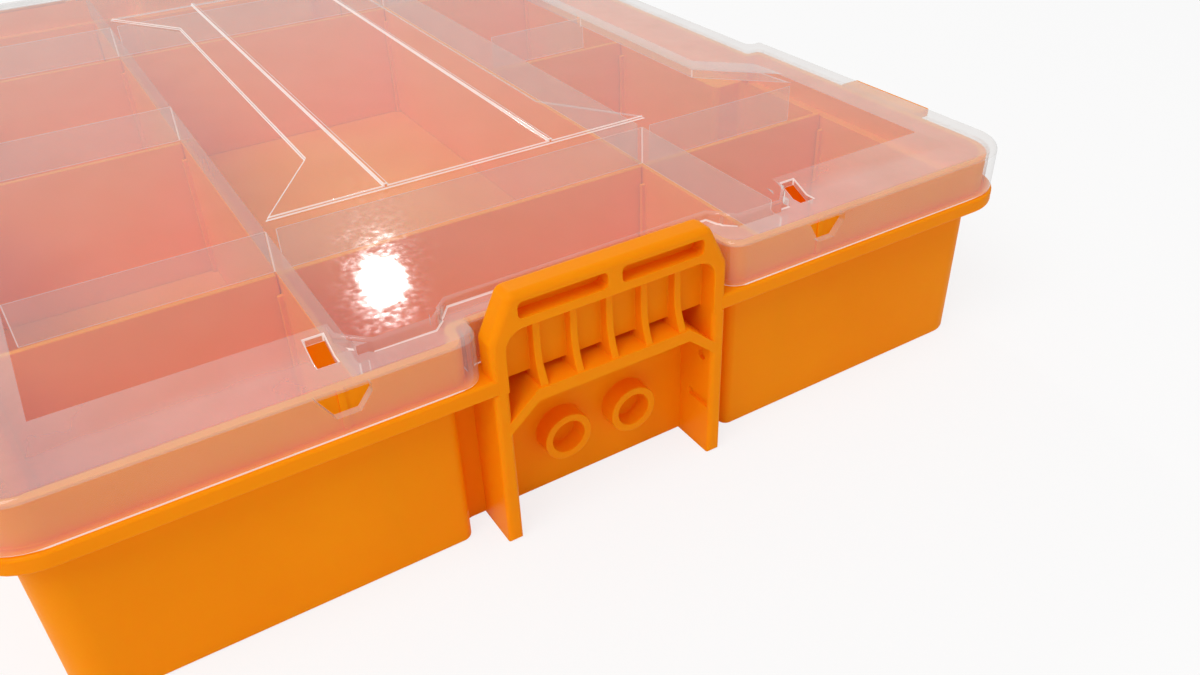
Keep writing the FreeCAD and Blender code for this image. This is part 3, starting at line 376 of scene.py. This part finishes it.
def clear_plastic_material(name, milk, painted_glow):
    """Clear plastic that looks milkier at a slant.

    Milk is its milky share straight on and edge on; the other number is the strength of a painted
    glow, emission in the milk colour that stands in for light carried inside the plastic.
    """
    material, tree, surface = new_material(name)
    marks = marks_in(tree, LID_GRAIN, LID_FLOW)
    flow = marks.outputs["Flow"]
    toned(tree, surface, flow, LID_MILK, LID_MILK_PALE)
    dulled(tree, surface, flow, LID_ROUGHNESS)
    surface.inputs["Specular IOR Level"].default_value = 0
    # Painted glow: emission in the milk colour, standing in for light carried inside the plastic.
    surface.inputs["Emission Color"].default_value = LID_MILK
    surface.inputs["Emission Strength"].default_value = painted_glow
    geometry = tree.nodes.new("ShaderNodeNewGeometry")
    outside = worked_out(tree, "SUBTRACT", 1, geometry.outputs["Backfacing"])
    slant = tree.nodes.new("ShaderNodeLayerWeight")
    slant.inputs["Blend"].default_value = SLANT_BLEND
    milky = ranged(tree, slant.outputs["Facing"], SLANT_RANGE, milk)
    tree.links.new(worked_out(tree, "MULTIPLY", milky, outside), surface.inputs["Alpha"])
    gloss = tree.nodes.new("ShaderNodeBsdfGlossy")
    dulled(tree, gloss, marks.outputs["Grain"], LID_GLOSS_ROUGHNESS)
    bumped(tree, gloss, flow, LID_FLOW_STRENGTH, LID_FLOW_DEPTH)
    shine = tree.nodes.new("ShaderNodeFresnel")
    shine.inputs["IOR"].default_value = LID_IOR
    shine_share = worked_out(tree, "MULTIPLY", shine.outputs["Fac"], outside)
    mixed_surfaces(tree, shine_share, surface.outputs["BSDF"], gloss.outputs["BSDF"])
    return material


def cut_round(piece, place, way):
    """New edges all round a piece, where a plane crosses it."""
    only_selected(piece)
    bpy.ops.object.mode_set(mode="EDIT")
    bpy.ops.mesh.select_all(action="SELECT")
    bpy.ops.mesh.bisect(plane_co=place, plane_no=way)
    bpy.ops.object.mode_set(mode="OBJECT")


lid_materials = [
    clear_plastic_material("clear_plastic", PANEL_MILK, PANEL_PAINTED_GLOW),
    clear_plastic_material("clear_plastic_ribs", RIB_MILK, RIB_PAINTED_GLOW),
    clear_plastic_material("clear_plastic_skirt", SKIRT_MILK, SKIRT_PAINTED_GLOW),
    clear_plastic_material("clear_plastic_edges", EDGE_MILK, EDGE_PAINTED_GLOW),
]
lid = softened_copy("lid", "lid_moulding", LID_EDGE_ROUND, lid_materials)
bpy.ops.mesh.customdata_custom_splitnormals_clear()
cut_round(lid, (0, 0, SKIRT_FOOT), (0, 0, 1))
smooth_normals(lid)
for face in lid.data.polygons:
    on_panel = face.normal.z > PANEL_LEVEL and face.center.z > PANEL_TOP
    outermost = abs(face.center.x) > INSIDE_SKIRT[0] or abs(face.center.y) > INSIDE_SKIRT[1]
    on_skirt = abs(face.normal.z) < SKIRT_LEAN and outermost and face.center.z < SKIRT_TOP
    if face.material_index != PANEL or face.normal.z <= UNDERSIDE or on_panel:
        continue
    # The skirt's foot band gets the edge material, with its painted bright line.
    if on_skirt and face.center.z < SKIRT_FOOT:
        face.material_index = EDGES
    elif on_skirt:
        face.material_index = SKIRT
    else:
        face.material_index = RIBS
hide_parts("lid")
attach(lid, "lid")

# Carry handle. A bail moulded in amber plastic that hangs in the front recess on two pins.
# Its front has a row of low ribs for the grip.
HANDLE_EDGE_ROUND = 0.0012
HANDLE_EDGE_STEPS = 3
HANDLE_EYE_ROUND = 0.0043
HANDLE_EYE_STEPS = 8
HANDLE_GRIP_TALL = 0.010
HANDLE_ARM_WIDE = 0.008
HANDLE_PIN_UP = 0.036
HANDLE_BORE = 0.0041
GRIP_LEAST_AREA = 0.0003
GRIP_BORDER = 0.0014
GRIP_RIBS = 17
GRIP_RIB_RISE = 0.0005
ROD_SIDES = 40
BORE_BEYOND = 0.01
SAME_WAY = 0.99
ALONG_X = 0
NEAR = 0.00001


def box_piece(name, low, high):
    """A box between two corners, its place kept in its mesh."""
    bpy.ops.mesh.primitive_cube_add(size=1, location=(Vector(low) + Vector(high)) / 2)
    piece = bpy.context.object
    piece.name = name
    piece.scale = Vector(high) - Vector(low)
    bpy.ops.object.transform_apply(location=True, rotation=True, scale=True)
    return piece


def rod_piece(name, low_x, high_x, y, z, diameter):
    """A round rod along X, its place kept in its mesh."""
    bpy.ops.mesh.primitive_cylinder_add(
        vertices=ROD_SIDES,
        radius=diameter / 2,
        depth=high_x - low_x,
        location=((low_x + high_x) / 2, y, z),
        rotation=(0, math.pi / 2, 0),
    )
    piece = bpy.context.object
    piece.name = name
    bpy.ops.object.transform_apply(location=True, rotation=True, scale=True)
    return piece


def pick_edges(piece, wanted):
    """Edit mode, with only the edges selected whose two ends pass a test."""
    nothing_picked(piece, "EDGE")
    for edge in piece.data.edges:
        ends = [piece.data.vertices[end].co for end in edge.vertices]
        edge.select = wanted(*ends)
    bpy.ops.object.mode_set(mode="EDIT")


def pull_faces(piece, wanted, move):
    """Draws the faces that pass a test out of a piece."""
    pick_faces(piece, wanted)
    bpy.ops.mesh.extrude_region_move(TRANSFORM_OT_translate={"value": move})
    bpy.ops.object.mode_set(mode="OBJECT")


def round_sharp_edges(piece, edge_round, steps):
    """Rounds every sharp edge of a piece."""
    pick_sharp_edges(piece)
    bpy.ops.mesh.bevel(offset=edge_round, segments=steps, affect="EDGES", clamp_overlap=True)
    bpy.ops.object.mode_set(mode="OBJECT")


def combined(piece, other, operation):
    """Joins another piece to a piece, or cuts it out of it."""
    only_selected(piece)
    both = piece.modifiers.new("both", "BOOLEAN")
    both.operation = operation
    both.object = other
    bpy.ops.object.modifier_apply(modifier="both")
    bpy.data.objects.remove(other)


def bore_through(piece, low_x, high_x, y, z, diameter):
    """A round hole along X, right through a piece."""
    drill = rod_piece("drill", low_x - BORE_BEYOND, high_x + BORE_BEYOND, y, z, diameter)
    combined(piece, drill, "DIFFERENCE")


def ribbed_face(piece, wanted, border, axis, ribs, rise):
    """Low ribs on one face: set in from its border, cut into strips, every second strip raised.

    The ribs follow each other along axis, which is 0, 1 or 2 for X, Y or Z.
    """
    pick_faces(piece, wanted)
    bpy.ops.mesh.inset(thickness=border)
    bpy.ops.object.mode_set(mode="OBJECT")
    inner = next(face for face in piece.data.polygons if face.select)
    outward = inner.normal.copy()
    corners = [piece.data.vertices[index].co for index in inner.vertices]
    low = Vector([min(corner[way] for corner in corners) - NEAR for way in range(3)])
    high = Vector([max(corner[way] for corner in corners) + NEAR for way in range(3)])
    strips = ribs * 2 - 1
    pitch = (high[axis] - low[axis]) / strips
    along = Vector([float(way == axis) for way in range(3)])

    def in_ribs(face):
        inside = all(low[way] < face.center[way] < high[way] for way in range(3))
        return inside and face.normal.dot(outward) > SAME_WAY

    def raised(face):
        strip = int((face.center[axis] - low[axis]) / pitch)
        return in_ribs(face) and strip % 2 == 0

    for number in range(1, strips):
        pick_faces(piece, in_ribs)
        bpy.ops.mesh.bisect(plane_co=low + along * pitch * number, plane_no=along)
    pull_faces(piece, raised, outward * rise)


handle_low, handle_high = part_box("carry_handle")
grip_top = handle_low.z + HANDLE_GRIP_TALL
arm_inner = handle_high.x - HANDLE_ARM_WIDE
handle_middle = (handle_low.y + handle_high.y) / 2
handle = box_piece("carry_handle_bail", handle_low, (handle_high.x, handle_high.y, grip_top))
for side in (-1, 1):
    cut_round(handle, (arm_inner * side, 0, 0), (1, 0, 0))
pull_faces(
    handle,
    lambda face: face.center.z > grip_top - NEAR and abs(face.center.x) > arm_inner,
    (0, 0, handle_high.z - grip_top),
)
pick_edges(
    handle,
    lambda first, last: min(first.z, last.z) > handle_high.z - NEAR and abs(first.x - last.x) > NEAR,
)
bpy.ops.mesh.bevel(offset=HANDLE_EYE_ROUND, segments=HANDLE_EYE_STEPS, affect="EDGES")
bpy.ops.object.mode_set(mode="OBJECT")
round_sharp_edges(handle, HANDLE_EDGE_ROUND, HANDLE_EDGE_STEPS)


def on_grip_front(face):
    """The large face of the grip that looks forward."""
    forward = face.center.y < handle_low.y + NEAR
    return forward and face.center.z < grip_top and face.area > GRIP_LEAST_AREA


ribbed_face(handle, on_grip_front, GRIP_BORDER, ALONG_X, GRIP_RIBS, GRIP_RIB_RISE)
bore_through(handle, handle_low.x, handle_high.x, handle_middle, HANDLE_PIN_UP, HANDLE_BORE)
smooth_normals(handle)
handle.data.materials.append(amber_plastic)
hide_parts("carry_handle")
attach(handle, "handle")

# Latches. Amber mouldings: a barrel on its pin, a plate in front of the lid's skirt, a hook behind
# its top edge and a lip before it for the finger. Low ribs on the plate keep the finger from slipping.
LATCH_EDGE_ROUND = 0.0005
LATCH_EDGE_STEPS = 2
LATCH_PLATE_FRONT = -0.1322
LATCH_PLATE_BACK = -0.1296
LATCH_HOOK_BACK = -0.1279
LATCH_HOOK_LOW = 0.0518
LATCH_AXIS = (-0.1286, 0.035)
LATCH_BARREL = 0.0064
LATCH_BARREL_INSET = 0.0001
LATCH_BORE = 0.0031
PLATE_LEAST_AREA = 0.0002
LATCH_BORDER = 0.002
LATCH_RIBS = 4
LATCH_RIB_RISE = 0.0005
ALONG_Z = 2


def on_hook_back(face):
    """The back of the plate above the hook's lower edge."""
    return face.center.z > LATCH_HOOK_LOW and face.center.y > LATCH_PLATE_BACK - NEAR


def on_lip_front(face):
    """The front of the plate above the hook's lower edge."""
    return face.center.z > LATCH_HOOK_LOW and face.center.y < LATCH_PLATE_FRONT + NEAR


def on_finger_plate(face):
    """The large front face of the plate, below the lip."""
    return abs(face.center.y - LATCH_PLATE_FRONT) < NEAR and face.area > PLATE_LEAST_AREA


for node in ("latch_left", "latch_right"):
    latch_low, latch_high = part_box(node)
    latch = box_piece(
        node + "_moulding",
        (latch_low.x, LATCH_PLATE_FRONT, LATCH_AXIS[1]),
        (latch_high.x, LATCH_PLATE_BACK, latch_high.z),
    )
    cut_round(latch, (0, 0, LATCH_HOOK_LOW), (0, 0, 1))
    pull_faces(latch, on_hook_back, (0, LATCH_HOOK_BACK - LATCH_PLATE_BACK, 0))
    pull_faces(latch, on_lip_front, (0, latch_low.y - LATCH_PLATE_FRONT, 0))
    round_sharp_edges(latch, LATCH_EDGE_ROUND, LATCH_EDGE_STEPS)
    ribbed_face(latch, on_finger_plate, LATCH_BORDER, ALONG_Z, LATCH_RIBS, LATCH_RIB_RISE)
    barrel_left = latch_low.x + LATCH_BARREL_INSET
    barrel_right = latch_high.x - LATCH_BARREL_INSET
    barrel = rod_piece("latch_barrel", barrel_left, barrel_right, *LATCH_AXIS, LATCH_BARREL)
    round_sharp_edges(barrel, LATCH_EDGE_ROUND, LATCH_EDGE_STEPS)
    combined(latch, barrel, "UNION")
    bore_through(latch, latch_low.x, latch_high.x, *LATCH_AXIS, LATCH_BORE)
    smooth_normals(latch)
    latch.data.materials.append(amber_plastic)
    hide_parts(node)
    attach(latch, node)

# Pins. Lengths of drawn steel wire with broken end edges, pressed into the tray's knuckles and lugs
# for the hinges, the latches and the handle.
PIN_END_ROUND = 0.0004
PIN_END_STEPS = 2
STEEL_BRIGHT = (0.62, 0.62, 0.63, 1)
STEEL_DULL = (0.45, 0.45, 0.46, 1)
STEEL_ROUGHNESS = (0.25, 0.4)
STEEL_GRAIN = 0.0004
STEEL_GRAIN_STRENGTH = 0.2
STEEL_GRAIN_DEPTH = 0.00002
STEEL_FLOW = 0.01
pin_steel, steel_tree, steel_surface = new_material("pin_steel")
steel_marks = marks_in(steel_tree, STEEL_GRAIN, STEEL_FLOW)
steel_grain = steel_marks.outputs["Grain"]
toned(steel_tree, steel_surface, steel_marks.outputs["Flow"], STEEL_DULL, STEEL_BRIGHT)
dulled(steel_tree, steel_surface, steel_grain, STEEL_ROUGHNESS)
bumped(steel_tree, steel_surface, steel_grain, STEEL_GRAIN_STRENGTH, STEEL_GRAIN_DEPTH)
steel_surface.inputs["Metallic"].default_value = 1
for node in sorted(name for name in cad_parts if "_pin_" in name):
    pin_low, pin_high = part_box(node)
    pin_y = (pin_low.y + pin_high.y) / 2
    pin_z = (pin_low.z + pin_high.z) / 2
    pin = rod_piece(node + "_wire", pin_low.x, pin_high.x, pin_y, pin_z, pin_high.z - pin_low.z)
    round_sharp_edges(pin, PIN_END_ROUND, PIN_END_STEPS)
    smooth_normals(pin)
    pin.data.materials.append(pin_steel)
    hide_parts(node)
    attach(pin, "base")

# Studio. A pale floor that fades into white surroundings, a large soft lamp behind the case
# and a small bright window, whose reflection lies on the lid.
ROOM_LIGHT = 0.57
ROOM_WHITE = (1, 1, 1, 1)
FLOOR_SIZE = 8
FLOOR_GREY = (0.9, 0.9, 0.9, 1)
FLOOR_ROUGHNESS = 0.9
FLOOR_WHITE_SHARE = 0.8
FLOOR_FADE = (0.8, 2.4)
SOFT_LAMP_PLACE = (-0.45, 0.75, 1.15)
SOFT_LAMP_AIM = (0, 0, 0.03)
SOFT_LAMP_SIZE = 0.9
SOFT_LAMP_POWER = 9
GLARE_PLACE = Vector((-0.1393, 0.0414, 0.061))
WINDOW_AWAY = 1.3
WINDOW_SIZE = 0.062
WINDOW_POWER = 1.2
scene.view_settings.view_transform = "Standard"


def seen_directly(tree):
    """1 where a ray shows a picture, straight, mirrored or through something clear, else 0."""
    rays = tree.nodes.new("ShaderNodeLightPath")
    seen = rays.outputs["Is Camera Ray"]
    for kind in ("Is Glossy Ray", "Is Transmission Ray"):
        seen = worked_out(tree, "MAXIMUM", seen, rays.outputs[kind])
    return seen


bpy.ops.object.select_all(action="DESELECT")
bpy.ops.mesh.primitive_plane_add(size=FLOOR_SIZE, location=(0, 0, 0))
floor = bpy.context.object
floor.name = "studio_floor"
floor_paper, paper_tree, paper = new_material("floor_paper")
paper.inputs["Base Color"].default_value = FLOOR_GREY
paper.inputs["Roughness"].default_value = FLOOR_ROUGHNESS
white_sheet = paper_tree.nodes.new("ShaderNodeEmission")
paper_place = paper_tree.nodes.new("ShaderNodeTexCoord")
paper_distance = paper_tree.nodes.new("ShaderNodeVectorMath")
paper_distance.operation = "LENGTH"
paper_tree.links.new(paper_place.outputs["Object"], paper_distance.inputs[0])
paper_fade = ranged(paper_tree, paper_distance.outputs["Value"], FLOOR_FADE, (FLOOR_WHITE_SHARE, 1))
white_share = worked_out(paper_tree, "MULTIPLY", seen_directly(paper_tree), paper_fade)
mixed_surfaces(paper_tree, white_share, paper.outputs["BSDF"], white_sheet.outputs["Emission"])
floor.data.materials.append(floor_paper)

world = bpy.data.worlds.new("white_room")
world.use_nodes = True
scene.world = world
room_tree = world.node_tree
room = room_tree.nodes["Background"]
room.inputs["Color"].default_value = ROOM_WHITE
room_level = ranged(room_tree, seen_directly(room_tree), (0, 1), (ROOM_LIGHT, 1))
room_tree.links.new(room_level, room.inputs["Strength"])


def area_lamp(name, place, target, size, power):
    """A round lamp that faces a point."""
    lamp_data = bpy.data.lights.new(name, "AREA")
    lamp_data.shape = "DISK"
    lamp_data.size = size
    lamp_data.energy = power
    lamp = bpy.data.objects.new(name, lamp_data)
    scene.collection.objects.link(lamp)
    aim = (Vector(target) - Vector(place)).to_track_quat("-Z", "Y").to_matrix().to_4x4()
    lamp.matrix_world = Matrix.Translation(place) @ aim


area_lamp("soft_lamp", SOFT_LAMP_PLACE, SOFT_LAMP_AIM, SOFT_LAMP_SIZE, SOFT_LAMP_POWER)
to_glare = (GLARE_PLACE - CAMERA_PLACE).normalized()
bounced = Vector((to_glare.x, to_glare.y, -to_glare.z))
area_lamp("window_lamp", GLARE_PLACE + bounced * WINDOW_AWAY, GLARE_PLACE, WINDOW_SIZE, WINDOW_POWER)
